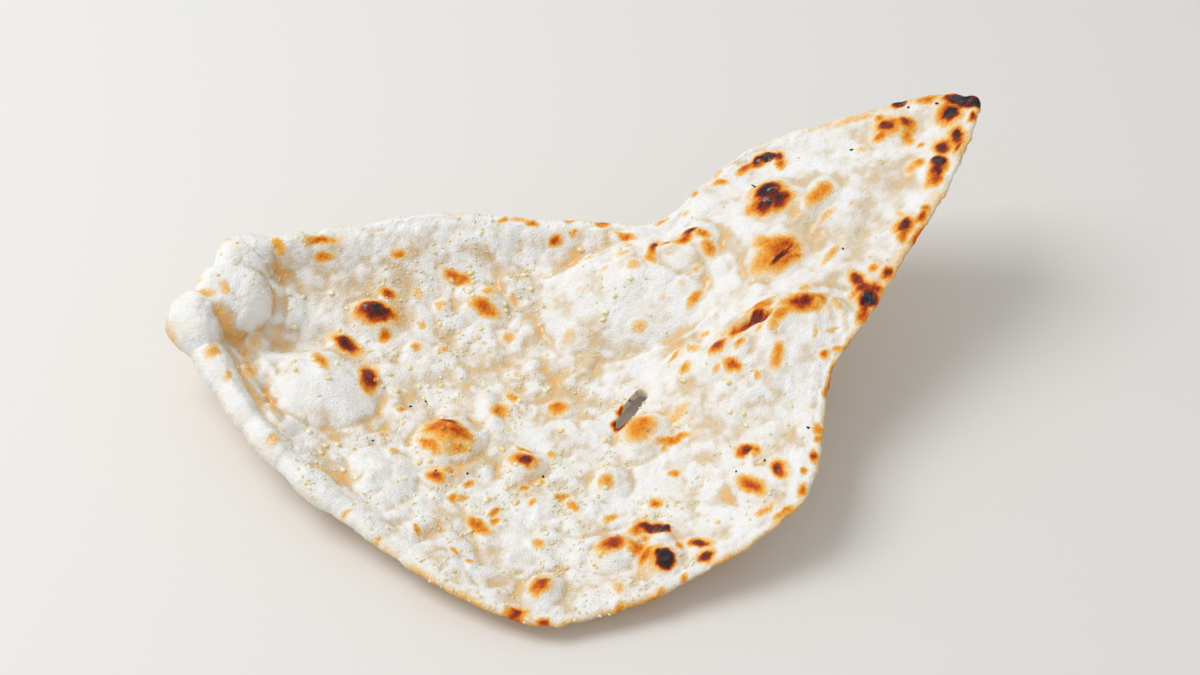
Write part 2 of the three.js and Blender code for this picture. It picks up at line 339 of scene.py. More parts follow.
def cut_tear(bread):
    centre = Vector(TEAR)
    near = [face for face in bread.faces if (face.calc_center_median().xy - centre).length < TEAR_REACH]
    inside = [face for face in near if np.less(*from_tear(face.calc_center_median()))]
    bmesh.ops.delete(bread, geom=inside, context="FACES")
    edges = [edge for edge in bread.edges if edge.is_boundary]
    for vertex in {vertex for edge in edges for vertex in edge.verts}:
        distance, reach = from_tear(vertex.co)
        middle = Vector((*TEAR, vertex.co.z))
        vertex.co = middle + (vertex.co - middle) * reach / distance
    made = bmesh.ops.bridge_loops(bread, edges=edges)
    wall = [edge for edge in made["edges"] if abs(edge.verts[0].co.z - edge.verts[1].co.z) > 1]
    bmesh.ops.subdivide_edges(bread, edges=wall, cuts=2)
    return len(inside)


place_points(bread, layers)
print("The tear took", cut_tear(bread), "faces")
open_edges = sum(not edge.is_manifold for edge in bread.edges)
print(open_edges, "open edges,", len(bread.verts), "points")

# %% [markdown]
# The bread becomes a mesh object, and from here its points are worked on as one table of numbers, because
# relief and paint are worked out for all of them at once.
# %% The bread as a mesh
def finish_mesh(name, made):
    mesh = bpy.data.meshes.new(name)
    made.to_mesh(mesh)
    made.free()
    mesh.shade_smooth()
    piece = bpy.data.objects.new(name, mesh)
    bpy.context.scene.collection.objects.link(piece)
    return piece


def read_points(mesh):
    co = np.zeros(3 * len(mesh.vertices))
    mesh.vertices.foreach_get("co", co)
    return co.reshape(-1, 3)


def write_points(mesh, co):
    mesh.vertices.foreach_set("co", co.ravel())
    mesh.update()


def read_attribute(mesh, name):
    values = np.zeros(len(mesh.vertices))
    mesh.attributes[name].data.foreach_get("value", values)
    return values


def write_attribute(mesh, name, values):
    attribute = mesh.attributes.get(name) or mesh.attributes.new(name, "FLOAT", "POINT")
    attribute.data.foreach_set("value", values)


naan = finish_mesh("naan_bread", bread)
places = read_points(naan.data)
s, around, side = (read_attribute(naan.data, name) for name in ("s", "around", "side"))
on_rim = even_share(around)
lips = lip_thickness(on_rim)
upper = np.clip((side + 1) / 2, 0, 1)
print("The sheet spans", places.min(0).round(1).tolist(), "to", places.max(0).round(1).tolist())

# %% [markdown]
# Toast lies where the dough stood nearest to the fire, so each spot is also the top of a small blister.
# The spots are read off the bread one by one: middle, half-length, half-width, turn in degrees, and heat,
# from pale gold at 0.2 to charcoal at 1.
# %% Toast on the round end
TOAST_LEFT = [
    (-86, 70, 10, 4.5, -28, .85), (-86, 61, 3, 2.5, 0, .6), (-77, 77, 4.5, 2.5, -35, .6),
    (-103, 64, 8, 4, -62, .8), (-103, 42, 9, 4, 65, .8), (-118, 55, 8, 3, 88, .42),
    (-66, 87, 4, 2, -25, .5), (-77, 51, 3, 3, 0, .4), (-67, 45, 3, 2.5, 0, .3),
    (-70, 59, 2.5, 2.5, 0, .25), (-59, 63, 3, 3, 0, .25), (-65, 72, 3, 3, 0, .2),
    (-95, 103, 8, 2, -12, .5), (-96, 98, 5, 1.5, -12, .4), (-113, 106, 4, 2, -60, .4),
    (-131, 111, 5, 2, 60, .3), (-150, 103, 3, 6, 20, .24), (-166, 84, 3, 7, 0, .2),
    (-141, 103, 3, 1, 0, .25), (-151, 93, 4, 1.5, -15, .3), (-144, 93, 2.5, 3, 0, .24),
    (-158, 67, 6, 2.5, 65, .32), (-157, 54, 3, 1.5, 70, .26), (-47, 70, 7, 3, -45, .55),
    (-43, 53, 8, 3.5, -55, .5), (-38, 58, 4, 2.5, -35, .3), (-30, 50, 2, 4, 0, .25),
    (-20, 78, 3, 1.5, 0, .4), (-13, 75, 5, 2, -25, .3), (-10, 71, 4, 1.2, -35, .45),
    (-4, 61, 3, 2, -15, .6), (4, 59, 2, 1.5, 0, .4), (6, 65, 3, 2, -20, .5), (4, 45, 3, 3, 0, .18),
]
TOAST_HOLLOW = [
    (-89, 0, 12, 9, -60, .36), (-147, 63, 5, 2.5, 80, .3), (-144, 74, 4, 2.5, 60, .24),
    (-138, 76, 5, 3, 0, .16), (-148, 36, 5, 2, 80, .2), (-128, 78, 4, 2, 0, .14), (-90, 3, 9, 6, -70, .52),
    (-84, -3, 7, 4, -50, .58), (-86, 4, 6, 2, -55, .85), (-88, -9, 7, 3, -10, .4),
    (-97, -2, 8, 2.5, 110, .45), (-101, -15, 5, 3.5, -70, .6), (-95, -15, 3, 2, 0, .45),
    (-67, -26, 7, 4.5, -55, .6), (-67, -28, 4, 3, -60, .88), (-63, -20, 5, 1.5, -65, .5),
    (-91, -24, 3, 2, 0, .4), (-100, -28, 2.5, 2.5, 0, .45), (-96, -30, 2.5, 2, 0, .3),
    (-73, -37, 2.5, 2, 0, .45), (-74, -45, 2.5, 2, 0, .35), (-65, -38, 2, 2, 0, .3),
    (-98, -46, 7, 3, -75, .55), (-89, -42, 4, 2, 20, .45), (-91, -47, 2.5, 2, 0, .45),
    (-62, 4, 5, 4.5, 0, .42), (-62, -48, 4, 2, -35, .42), (-61, -55, 4, 2, 95, .42),
    (-110, 3, 3, 2.5, 0, .25), (-110, 14, 3, 2, 0, .25), (-97, 23, 2.5, 2, 0, .35),
    (-154, 17, 3, 3, 0, .22), (-143, -24, 3, 2, 0, .3), (-138, -40, 3, 2, 0, .25),
    (-121, -40, 3, 1.5, 90, .35), (-40, -6, 5, 4.5, 0, .45), (-53, 9, 4, 2.5, 100, .4),
    (-46, 19, 2, 2, 0, .18), (-40, 38, 3, 3, 0, .3), (-20, -38, 7.5, 7, 0, .45),
    (-12, -50, 8, 1.8, -35, .5), (-5, -42, 6, 4, 0, .22), (-55, -27, 3, 2.5, 0, .25),
    (-20, 21, 4, 4.5, 0, .15), (-44, -52, 4, 4, 0, .33), (-41, -44, 4, 1, 0, .25),
    (-25, -27, 2.5, 2, 0, .84), (-20, -22, 3, 1.2, 30, .74), (-23, -31, 3.4, 1.5, 0, .86),
    (-8, 33, 2, 2, 0, .15),
]
print(len(TOAST_LEFT) + len(TOAST_HOLLOW), "spots on the round end")

# %% [markdown]
# The pulled end hung closest to the oven's mouth. It has the largest spots, and its edge and point are
# charred.
# %% Toast on the pulled end and the front, and painted shade in the recess
TOAST_PULLED = [
    (17, 56, 4, 3.5, -50, .55), (21, 44, 5.5, 1.5, -52, .5), (19.5, 38, 2, 1.5, 0, .28),
    (14.5, 34, 3.5, 2.5, 0, .2), (5, 33, 3, 2, 0, .15), (14, 25, 2.8, 4, 0, .27), (27, 30, 4, 2, 40, .85),
    (24, 27, 6, 2, 60, .55), (21.5, 23, 4, 2, 75, .4), (31, 26, 3.5, 1, -70, .6),
    (36, 21.5, 5, 2.5, -20, .6), (40, 22.5, 3.5, 2, -20, .9), (43.5, 17, 4, 2.5, -60, .55),
    (42, 10.5, 4, 3.2, 90, .45), (34, 6.5, 2, 2, 0, .28), (4, 3.5, 4.5, 2.5, -40, .25),
    (27, -3, 5, 2.4, 20, .38), (26, 5.5, 2.5, 2.5, 0, .14), (17, 6, 2.5, 2, 0, .12),
    (73, 14, 7.5, 6.5, -50, .93), (69, 10, 5, 4, -20, .85), (75, 8, 5.5, 4.5, -10, .84),
    (66, 13, 4, 3.5, 0, .5), (58.5, -6, 4, 7, 0, .42), (62, -12, 10, 7, -12, .56),
    (53, -13, 6, 5.5, 0, .38), (60, -17, 9, 5, 0, .5), (61, -14, 8, 1.8, -4, .62),
    (60, -15.8, 7, 1.3, 4, .88), (64, -18, 5, 1.2, -15, .62), (58, -36, 3, 4.5, -40, .28),
    (88, -1, 8, 4.5, 15, .42), (85, -3, 4, 2.5, 0, .4), (86, -10, 5, 2.4, 0, .22),
    (96.5, -13, 2.5, 2, 20, .17), (77, -26.5, 8, 2.3, 22, .27), (9, -17, 3.5, 1, 15, .35),
    (14.5, -22, 1.8, 5, 0, .33), (21, -21, 1.2, 3, 0, .33), (7, -28, 2.2, 3.2, 0, .4),
    (18, -34.5, 3.6, 3.8, 0, .7), (26, -35, 3.4, 3.4, 0, .64), (35, -36, 5, 2.3, 10, .8),
    (38, -32.5, 7, 2.2, -30, .45), (24, -41, 3, 2, 0, .4), (33, -41, 2.5, 1.4, 0, .24),
    (51, -43, 9, 5, -30, .66), (53, -43.5, 6, 3.6, -20, .76), (42, -43, 6.5, 3.5, 15, .42),
    (37, -45, 3, 3, 0, .3), (59.5, -46, 2.5, 3, 0, .5), (13, -42, 2.2, 2.2, 0, .28),
    (17.5, -46.5, 2.3, 5, 10, .62), (22, -57, 1.5, 3, 0, .33), (32, -56, 6.5, 3, 50, .42),
    (47, -67, 2, 2.2, 0, .6), (52, -68, 3, 1.8, 0, .5), (49, -57, 4, 1.6, 45, .2),
    (55, -59, 4, 1.6, -10, .24), (64, -50, 2.2, 4.5, -10, .26),
]
TOAST_EDGE = [
    (77.5, -45, 3, 5.5, -5, .84), (76.5, -50.5, 3.5, 4.5, 0, .8), (75, -56, 5, 5, 0, .93),
    (80, -54, 4, 4, 30, .66), (70, -60, 6, 3, 30, .7), (73, -50, 3, 3, 0, .4), (87, -51, 3, 2.8, 0, .75),
    (85, -45, 2, 3, 0, .42), (104.5, -38, 4, 5, 0, .86), (108, -31, 1, 3.4, 0, .45),
    (101, -42, 3, 3, 0, .5), (111, -40, 3, 2, 0, .65), (114, -38, 1.6, 2.8, 0, .5),
    (106, -45, 6, 1.2, 20, .62), (125, -29, 4.5, 4, 50, .6), (128, -26, 4, 3.4, 45, .86),
    (131.5, -22.5, 2.8, 3.2, 0, .97), (132, -26, 3.4, 1.8, 60, .6), (127, -16, 1.8, 4.4, 0, .45),
    (124, -15, 3.2, 3.2, 0, .28), (137.5, -17, 2.8, 5, -25, .93), (138, -17, 4.5, 6.5, -25, .5),
    (144.5, -17, 2.5, 6, -30, .9), (144.5, -17, 4, 8, -30, .5), (142, -22, 4, 1.5, 35, .6),
    (151, -3.5, 5.5, 7, -20, .7), (151, -4, 3.4, 4.4, -20, .97), (160, -3, 4.5, 8, 25, 1),
    (156, 3, 3.4, 3.4, 0, .82), (156, -13, 3.4, 1.8, 35, .82), (141, 17, 3.8, 2.4, -25, .97),
    (129.5, 9, 7, 6.5, 0, .5), (129, 10, 3.6, 4.2, 0, .88), (135.5, 6.5, 3.2, 4.4, 0, .82),
    (130, 16, 2.4, 3, 0, .48), (124, 7.5, 3.4, 2.4, -20, .52), (133, 0, 3, 5.5, -15, .42),
    (136, 4, 4, 5.5, -20, .55), (134, -8, 1.8, 1.8, 0, .5), (116, 9, 4, 3, 0, .18),
    (76, 35.8, 5.5, 2.2, 8, .58), (83, 36.2, 3.8, 1.7, -5, .95), (87, 34, 3.2, 1.9, -40, .97),
    (90, 31, 2.8, 2.3, -60, .85), (88.5, 27.5, 2.8, 3.4, -70, .5), (81, 34.5, 4.4, 1.9, -10, .58),
    (64, 37.5, 4.4, 1.6, -40, .4), (66, 42, 3, 1.2, 0, .3), (37, 39, 3.4, 1.4, 0, .4),
    (54, 41, 2.4, 1.8, 0, .35), (46, 34.5, 2, 2.4, 0, .18), (122, 24, 12, 3, -26, .2),
    (150, 10, 6, 3, -40, .5),
]
TOAST_AND_SHADE_FRONT = [
    (-93, -87, 6, 4, 30, .68), (-107, -93, 5, 3, -40, .72), (-99, -101, 3, 1.8, -35, .72),
    (-113, -56, 2.5, 1.2, 90, .4), (-110, -63, 2.2, 1.8, 0, .4), (-82, -65, 3, 3.5, 0, .28),
    (-59, -83, 6.5, 5, 0, .66), (-62, -80, 5, 3, 30, .45), (-41, -83, 7.5, 3.4, -65, .9),
    (-46, -80, 4, 3, 0, .55), (-39, -87, 3.2, 3.2, 0, .97), (-52, -90, 4, 5, 0, .5),
    (-48, -103, 5.2, 4.4, 70, 1), (-49, -101, 7, 6, 70, .4), (-52, -96, 4, 3, 0, .5),
    (-32, -102, 5, 3, -60, .8), (-34.5, -110, 3.6, 3.2, 0, .78), (-38, -98, 3.8, 1.8, 60, .42),
    (-51, -68, 4, 2.6, 0, .38), (-33, -72, 3.2, 3.2, 0, .45), (-20, -64, 3, 2.2, -40, .38),
    (-68, -102, 3, 4, 0, .26), (-72, -110, 3, 1.8, 0, .45), (-58, -113, 5, 1.4, 0, .45),
    (-45, -113, 2.4, 1.4, 0, .55), (-46, -86, 3, 1.8, 90, .42), (4, -78, 4.4, 3, -50, .78),
    (6, -82, 2.4, 2.2, 0, .5), (-4, -95, 7.5, 3, -75, .62), (7.5, -95.5, 5, 3.2, 75, .74),
    (19, -101, 3, 1.8, 60, .65), (13.5, -104, 1.8, 1.4, 90, .45), (8, -110, 3, 2.2, 30, .62),
    (-7, -107, 5, 3, 0, .33), (-2, -113, 6, 1.8, 0, .45), (27, -92, 3.4, 2.4, 90, .42),
    # Painted shade: the long dark mark at 44, -77 stands for the shade on the recess's shadowed side.
    (25, -96, 2.2, 1.3, 40, .55), (44, -77, 8, 1.6, 40, .6), (55, -71, 8, 2.4, 28, .66),
]
TOAST_AND_SHADE = TOAST_LEFT + TOAST_HOLLOW + TOAST_PULLED + TOAST_EDGE + TOAST_AND_SHADE_FRONT
print(len(TOAST_AND_SHADE), "spots in all")

# %% [markdown]
# Dough is never smooth. Its relief is worked out in layers, from coarse to fine. First come the puffs
# where the lip rolled over at the round end: balls of air, which push every point near them outwards.
# Where two of them meet, the stronger wins, which leaves a sharp valley between. Each is a middle in
# millimetres, a radius, and how far it pushes.
# %% Puffs on the lip
PUFFS = [
    (-161, 87, 35, 15, 6.0), (-139, 92, 33, 16, 7.5), (-127, 109, 38, 14, 5.5), (-108, 108, 38, 12, 2.5),
    (-166, 64, 27, 13, 2.4), (-164, 42, 23, 12, 2.0), (-159, 20, 20, 12, 1.8), (-150, -7, 17, 12, 1.6),
    (-143, 62, 18, 8, 2.5), (-146, 34, 15, 11, 2.5), (-120, 88, 22, 10, 2.0), (-87, 104, 34, 14, 1.5),
]
PUFF_ROUNDNESS = 0.65


def read_normals(mesh):
    normals = np.zeros(3 * len(mesh.vertices))
    mesh.vertex_normals.foreach_get("vector", normals)
    return normals.reshape(-1, 3)


def puffed(mesh, co):
    push = np.zeros(len(co))
    for *middle, radius, rise in PUFFS:
        reach = np.linalg.norm(co - middle, axis=1) / radius
        push = np.maximum(push, rise * np.clip(1 - reach**2, 0, 1) ** PUFF_ROUNDNESS)
    return co + read_normals(mesh) * (push * (side > -0.9))[:, None]


swollen = puffed(naan.data, places)
print("The puffs push the lip out by up to", round(float(np.abs(swollen - places).max()), 1), "mm")

# %% [markdown]
# Next, lines. A groove lies wherever two puffs meet or the sheet folds, and a thin raised line where the
# dough was pulled tight over a fold. Each has a rise, negative for a groove, a half-width, how toasted it
# is, and the points it follows.
# %% Grooves and ridges
LINES = [
    (0.6, 3.0, 0.0, [(-133, 84), (-127, 80), (-120, 75)]),
    (-1.0, 1.5, 0.0, [(-147, 60), (-143, 52), (-144, 44)]),
    (-0.8, 2.2, 0.0, [(-24, 34), (-18, 15), (-6, 4), (6, -4), (17, -10), (25, -13), (33, -11), (37, -2)]),
    (0.8, 1.4, 0.0, [(-8, 0), (5, -8), (17, -14), (27, -16), (35, -13)]),
    (2.2, 1.6, 0.22, [(19, -27), (27, -31), (32, -32.5), (38, -32), (44, -33), (51, -35)]),
    # Toast and painted shade: the dark toast of this groove also stands for the shade in the gap beneath the
    # fold's crest.
    (-2.4, 1.6, 0.8, [(27, -34.5), (34, -37), (42, -38.5)]),
    (1.1, 1.5, 0.16, [(49, -35), (44, -38), (39, -41), (34, -47)]),
    (1.2, 1.7, 0.2, [(48, -34), (55, -41), (66, -46)]),
    (1.0, 1.5, 0.12, [(66, -45), (64, -54), (58, -68)]),
    (0.7, 1.3, 0.12, [(57, -41), (60, -50), (57, -60)]),
    (-2.2, 2.2, 0.0, [(-151, 84), (-150, 70), (-151, 54), (-153, 38), (-150, 18), (-142, 0)]),
    (1.2, 1.8, 0.0, [(-141, 66), (-146, 54), (-147, 40), (-144, 26)]),
    (-0.9, 1.3, 0.0, [(62, -42), (69, -50), (68, -60)]),
    (-0.6, 1.0, 0.6, [(67, 17), (73, 14), (79, 10)]),
    (-0.8, 1.0, 0.72, [(53, -17), (59, -16), (65, -14), (70, -11)]),
    (-0.5, 0.8, 0.55, [(57, -18), (60, -13), (61, -8)]),
    (0.9, 1.1, 0.3, [(-6, -52), (-12, -49), (-19, -51)]),
    (-1.0, 1.4, 0.1, [(-104, -46), (-99, -36), (-100, -26)]),
    (-1.0, 1.6, 0.0, [(-120, -50), (-104, -66), (-88, -78), (-76, -82)]),
    (-0.9, 1.4, 0.0, [(-74, -58), (-66, -70), (-48, -74), (-34, -66)]),
]


def line_strength(x, y, width, line):
    """One on the line, falling off to both sides and towards both of its ends."""
    strength = np.zeros(len(x))
    pieces = len(line) - 1
    for i, ((ax, ay), (bx, by)) in enumerate(zip(line, line[1:])):
        length = math.hypot(bx - ax, by - ay)
        share = np.clip(((x - ax) * (bx - ax) + (y - ay) * (by - ay)) / length**2, 0, 1)
        gap = np.hypot(x - ax - share * (bx - ax), y - ay - share * (by - ay))
        along = (i + share) / pieces
        ends = smoothstep(np.minimum(along, 1 - along), -0.08, 0.25)
        strength = np.maximum(strength, ends * np.exp(-((gap / width) ** 2)))
    return strength


def line_rises(x, y):
    return sum(rise * line_strength(x, y, width, line) for rise, width, _, line in LINES)


def line_toast_and_shade(x, y):
    """The toast of the strongest line at each place, with the painted shade in the fold's groove."""
    lines = [heat * line_strength(x, y, width, line) for _, width, heat, line in LINES if heat]
    return np.max(lines, axis=0)


print(len(LINES), "grooves and ridges")

# %% [markdown]
# Then bubbles: a swelling under each spot of toast, a soft moat round each blister where the skin parts
# from it, and hundreds of small bubbles between. Last comes noise. Its absolute value has round tops and
# sharp valleys, just like puffed dough, where plain noise would look like hills.
# %% Bubbles and crumb
BUBBLES = 1500
BUBBLE_SIZES = (0.9, 3.6)
BUBBLE_RISE = 0.22
HIGHEST_SWELLING = 1.5
PULLED_FROM = 50
MOAT_DEPTH = 0.5
MOAT_WIDTH = 1.6
DEEPEST_MOAT = 1.2 * MOAT_DEPTH
CALM = [
    (6, 22, 34, 24, -38, .5), (-121, 47, 26, 25, 0, .55), (-142, 101, 30, 14, 30, .75),
    (-162, 50, 50, 12, 85, .6), (62, -12, 16, 12, 0, .5), (50, -55, 30, 20, -20, .35),
]


def crumb(points, size, octaves, seed):
    """Noise over points in millimetres, with waves of about that size; roughly from -1 to 1."""
    offset = Vector((37.7 * seed, 11.3 * seed, 5.9 * seed))
    return np.array([noise.fractal(Vector(p) / size + offset, 1.0, 2.0, octaves) for p in points])


def toast_swelling(spot):
    """A swelling a little larger than its spot, and half as high on the pulled end."""
    x, y, long, wide, turn = spot[:5]
    rise = min(HIGHEST_SWELLING, 0.3 + 0.18 * min(long, wide)) * (0.5 if x > PULLED_FROM else 1)
    return (x, y, 1.25 * long + 1, 1.25 * wide + 1, turn, rise)


def scattered_bubbles():
    draw = random.Random(11)
    bubbles = []
    for _ in range(BUBBLES):
        size = draw.uniform(*BUBBLE_SIZES)
        x, y = draw.uniform(-165, 165), draw.uniform(-117, 117)
        long, turn = size * draw.uniform(1, 1.9), draw.uniform(0, 180)
        bubbles.append((x, y, long, size, turn, BUBBLE_RISE * size))
    return bubbles


def liveliness(x, y):
    """How rough the dough is: less on the big smooth puffs, and on the pulled end."""
    calm = 0.5 * smoothstep(x, 20, 70)
    for area in CALM:
        calm = np.maximum(calm, area[5] * (1 - smoothstep(dome_reach(area, x, y), 0.7, 1.15)))
    return 1 - calm


def moats(x, y):
    depth = np.zeros_like(x)
    for blister in BLISTERS:
        gap = (dome_reach(blister, x, y) - 1) * min(blister[2], blister[3])
        depth += MOAT_DEPTH * np.exp(-((gap / MOAT_WIDTH) ** 2))
    return np.minimum(depth, DEEPEST_MOAT) * (1 - smoothstep(x, 40, 70))


bubbles = scattered_bubbles()
swellings = [toast_swelling(spot) for spot in TOAST_AND_SHADE]
print(len(swellings), "swellings under toast, and", len(bubbles), "bubbles")

# %% [markdown]
# The upper face gets all of it. The underside only has low broad blisters, because it baked flat against
# the oven. The lip is drawn thinner towards its edge, except where it is rolled, and its outline is a
# little ragged.
# %% Raise the relief
BILLOWS = ((13, 1.8), (5.5, 0.7))
GRAIN_SIZE, GRAIN_RISE = 2.4, 0.16
SETTLING = 0.8
THIN_LIP = (6, 9)
UNDERSIDE_RELIEF = 1.4
RIM_FROM = 0.93
RAGGED = 0.75
FINELY_RAGGED = 0.45


def upper_relief(co):
    x, y = co[:, 0], co[:, 1]
    rough = dome_rises(bubbles, x, y, 0.7)
    for seed, (size, rise) in enumerate(BILLOWS, 1):
        rough += rise * np.abs(crumb(co, size, 1, seed))
    rough += GRAIN_RISE * crumb(co, GRAIN_SIZE, 1, 3) - SETTLING
    return rough * liveliness(x, y) + dome_rises(swellings, x, y, 0.9) + line_rises(x, y) - moats(x, y)


def middle_height():
    """The height halfway between the faces, at each point of either."""
    top = sheet_at(s, on_rim, np.ones(len(s)))[:, 2]
    under = sheet_at(s, on_rim, -np.ones(len(s)))[:, 2]
    return (top + under) / 2


def pinched(co):
    """The sheet drawn thinner towards its edge where the lip is thin."""
    share = 0.5 * smoothstep(s, 0.955, 1) * (1 - smoothstep(lips, *THIN_LIP))
    thinner = co.copy()
    thinner[:, 2] = lerp(co[:, 2], middle_height(), share)
    return thinner


def ragged(co, size, octaves, seeds):
    """Noise in each of the three directions."""
    return np.stack([crumb(co, size, octaves, seed) for seed in seeds], axis=1)


def raise_relief(co):
    raised = co.copy()
    top = side > 0.99
    raised[top, 2] += upper_relief(co[top]) * (1 - smoothstep(s[top], RIM_FROM, 1))
    low = side < -0.99
    blistered = np.abs(crumb(co[low], 16, 3, 3))
    raised[low, 2] -= UNDERSIDE_RELIEF * blistered * smoothstep(co[low, 2], 1, 5)
    rim = s > RIM_FROM
    shift = ragged(co[rim], 7, 3, (4, 5, 6)) + FINELY_RAGGED * ragged(co[rim], 2.3, 2, (21, 22, 23))
    raised[rim] += RAGGED * shift * smoothstep(s[rim], RIM_FROM, 0.99)[:, None]
    return raised


shaped = raise_relief(pinched(swollen))
shaped[:, 2] -= shaped[:, 2].min()
write_points(naan.data, shaped)
print("The relief moves points by up to", round(float(np.abs(shaped - places).max()), 1), "mm")

# %% [markdown]
# Paint is kept as a number at each point, which the material turns into colour. Toast comes from the
# spots, with their outlines made a little ragged by noise and a faint halo round each. The hotter a spot,
# the steeper its edge. A thin line of toast follows the rim in patches, and another the edge of the tear. The
# same
# number also carries painted shade: a dark mark in the recess on the front edge, and dark toast in the groove
# under the fold's crest.
# %% Toast and painted shade
FACING_FIRE = np.array([0.81, 0.59])
HOT = 0.6
STEEPNESS = 0.6
CHARRED = 0.96
CHARRED_EDGE = (0.7, 1.15)
SPOT_EDGE = (0.15, 1.4)
HALO_EDGE = (0.7, 1.9)
HALO_HEAT = 0.28
RIM_HEAT = 0.2
TEAR_HEAT = 0.1
TEAR_CHAR = (-25, -30)


def spot_values(spots, x, y, full, none, leaning=0):
    """The strongest spot at each place: full inside a share of its outline, none past another.

    A spot that leans is stronger on the side that faced the fire."""
    strongest = np.zeros_like(x)
    for spot in spots:
        near = (np.abs(x - spot[0]) < 30) & (np.abs(y - spot[1]) < 30)
        reach = dome_reach(spot, x[near], y[near])
        away = (spot[0] - x[near]) * FACING_FIRE[0] + (spot[1] - y[near]) * FACING_FIRE[1]
        lean = 1 - leaning * np.clip(0.5 + away / max(spot[2:4]), 0, 1)
        steeper = STEEPNESS * max(0, spot[5] - HOT)
        core, edge = CHARRED_EDGE if spot[5] > CHARRED else (full + steeper, none - steeper)
        heat = spot[5] * lean * (1 - smoothstep(reach, core, edge))
        strongest[near] = np.maximum(strongest[near], heat)
    return strongest


def rim_blush(co):
    """A thin line of toast along the outer edge, in patches."""
    pulled = smoothstep(co[:, 0], 40, 120)
    front_left = smoothstep(-co[:, 0] - co[:, 1], 60, 130)
    patches = np.clip(0.5 + 1.1 * crumb(co, 13, 2, 14), 0.1, 1.1) + 0.5 * pulled + 0.5 * front_left
    thin = 1 - 0.7 * smoothstep(lips, 6.5, 9)
    band = smoothstep(s, 0.965 - 0.015 * pulled, 1) * smoothstep(side, lerp(1.3, 2.2, pulled), 0.2)
    return (RIM_HEAT - 0.06 * pulled) * patches * thin * band


def tear_toast(x, y):
    """Toast along the edge of the tear, black at its lower left end."""
    dx, dy = x - TEAR[0], y - TEAR[1]
    gap = np.abs(np.hypot(dx, dy) - tear_radius(np.arctan2(dy, dx)))
    char = 1 - smoothstep(np.hypot(x - TEAR_CHAR[0], y - TEAR_CHAR[1]), 1, 4.5)
    return (TEAR_HEAT + 0.66 * char) * (1 - smoothstep(gap, 0.2, 0.8 + 2 * char))


def paint_toast_and_shade(co):
    x = co[:, 0] + crumb(co, 5, 3, 7)
    y = co[:, 1] + crumb(co, 5, 3, 9)
    spots = spot_values(TOAST_AND_SHADE, x, y, *SPOT_EDGE, 0.2) * (1.05 + 0.3 * crumb(co, 3, 2, 17))
    halos = HALO_HEAT * spot_values(TOAST_AND_SHADE, x, y, *HALO_EDGE, 0.5)
    strongest = np.max([spots, halos, line_toast_and_shade(x, y), tear_toast(co[:, 0], co[:, 1])], axis=0)
    return np.maximum(strongest * smoothstep(side, -0.9, 0.1), rim_blush(co))


toast_and_shade = paint_toast_and_shade(places)
write_attribute(naan.data, "toast_and_shade", toast_and_shade)
print("Toast covers", round(100 * float(np.mean(toast_and_shade[side > 0.99] > 0.15))), "% of the upper face")

# %% [markdown]
# Oil gathers in the valleys, which are the places that lie lower than what is around them, and the same value
# paints shade:
# darker cream in the valleys and whiter dough on the bumps. It also soaks the thin dough of the deep folds at
# the round end, which shows as honey-coloured patches, partly painted shade of those hollows.
# %% Oil and painted shade
# Patches of oil and painted shade: their honey and beige also darken the deep folds, the hollow and the
# valley inside the lip's roll.
OIL_AND_SHADE_PATCHES = [
    (-130, 80, 15, 9, -5, .55), (-122, 84, 12, 8, -70, .5), (-147, 66, 12, 5, 80, .7),
    (-117, 90, 8, 6, 0, .45), (-146, 82, 9, 6, -40, .6), (-150, 45, 16, 5, 80, .6),
    (-139, 5, 20, 5, 95, .6), (-148, 25, 14, 5, 90, .5), (-110, -35, 10, 5, 60, .5),
    (-85, -17, 12, 6, 0, .45), (-95, 30, 9, 7, 0, .6), (-110, 16, 9, 5, 0, .6), (-22, 58, 20, 5, -8, .5),
    (-28, 42, 6, 14, 0, .5), (-35, 5, 26, 22, 0, .45), (17, -12, 20, 4, -15, .6),
    (100, -10, 40, 24, -10, .26), (-95, -65, 24, 14, -30, .24), (-79, -70, 8, 3, 75, .4),
    (-60, 30, 26, 18, 0, .4), (-118, 101, 7, 4, -30, .6), (-75, 92, 50, 13, -10, .35),
    (-92, -82, 34, 16, -28, .25), (0, -60, 24, 10, -10, .3), (33, 2, 5, 14, 20, .45),
    (-48, 38, 14, 10, 30, .4), (-127, 19, 12, 4, -10, .7),
]
OIL_AND_SHADE_EDGE = (0.0, 1.5)
WIDE, NARROW = 30, 3


def evened(mesh, values, rounds):
    """Each point's value averaged with its neighbours', over and over."""
    pairs = np.zeros(2 * len(mesh.edges), dtype=np.int32)
    mesh.edges.foreach_get("vertices", pairs)
    a, b = pairs.reshape(-1, 2).T
    count = np.bincount(pairs, minlength=len(values))
    for _ in range(rounds):
        total = np.bincount(a, values[b], len(values)) + np.bincount(b, values[a], len(values))
        values = total / count
    return values


def sunk(rounds):
    """How far each point lies below what is around it."""
    height = shaped[:, 2]
    return evened(naan.data, height, rounds) - height


def paint_oil_and_shade(co):
    # Painted shade and painted light: low places get more of the value and are painted darker cream, bumps
    # less and are painted whiter.
    painted_relief_shade = sunk(WIDE) + 1.2 * sunk(NARROW)
    x = co[:, 0] + 2 * crumb(co, 9, 2, 15)
    y = co[:, 1] + 2 * crumb(co, 9, 2, 16)
    oil_and_shade = spot_values(OIL_AND_SHADE_PATCHES, x, y, *OIL_AND_SHADE_EDGE) * (0.85 + 0.7 * crumb(co, 4, 4, 18))
    return np.clip(0.08 + oil_and_shade + 0.3 * painted_relief_shade + 0.5 * crumb(co, 12, 3, 12), 0, 1.1) * upper


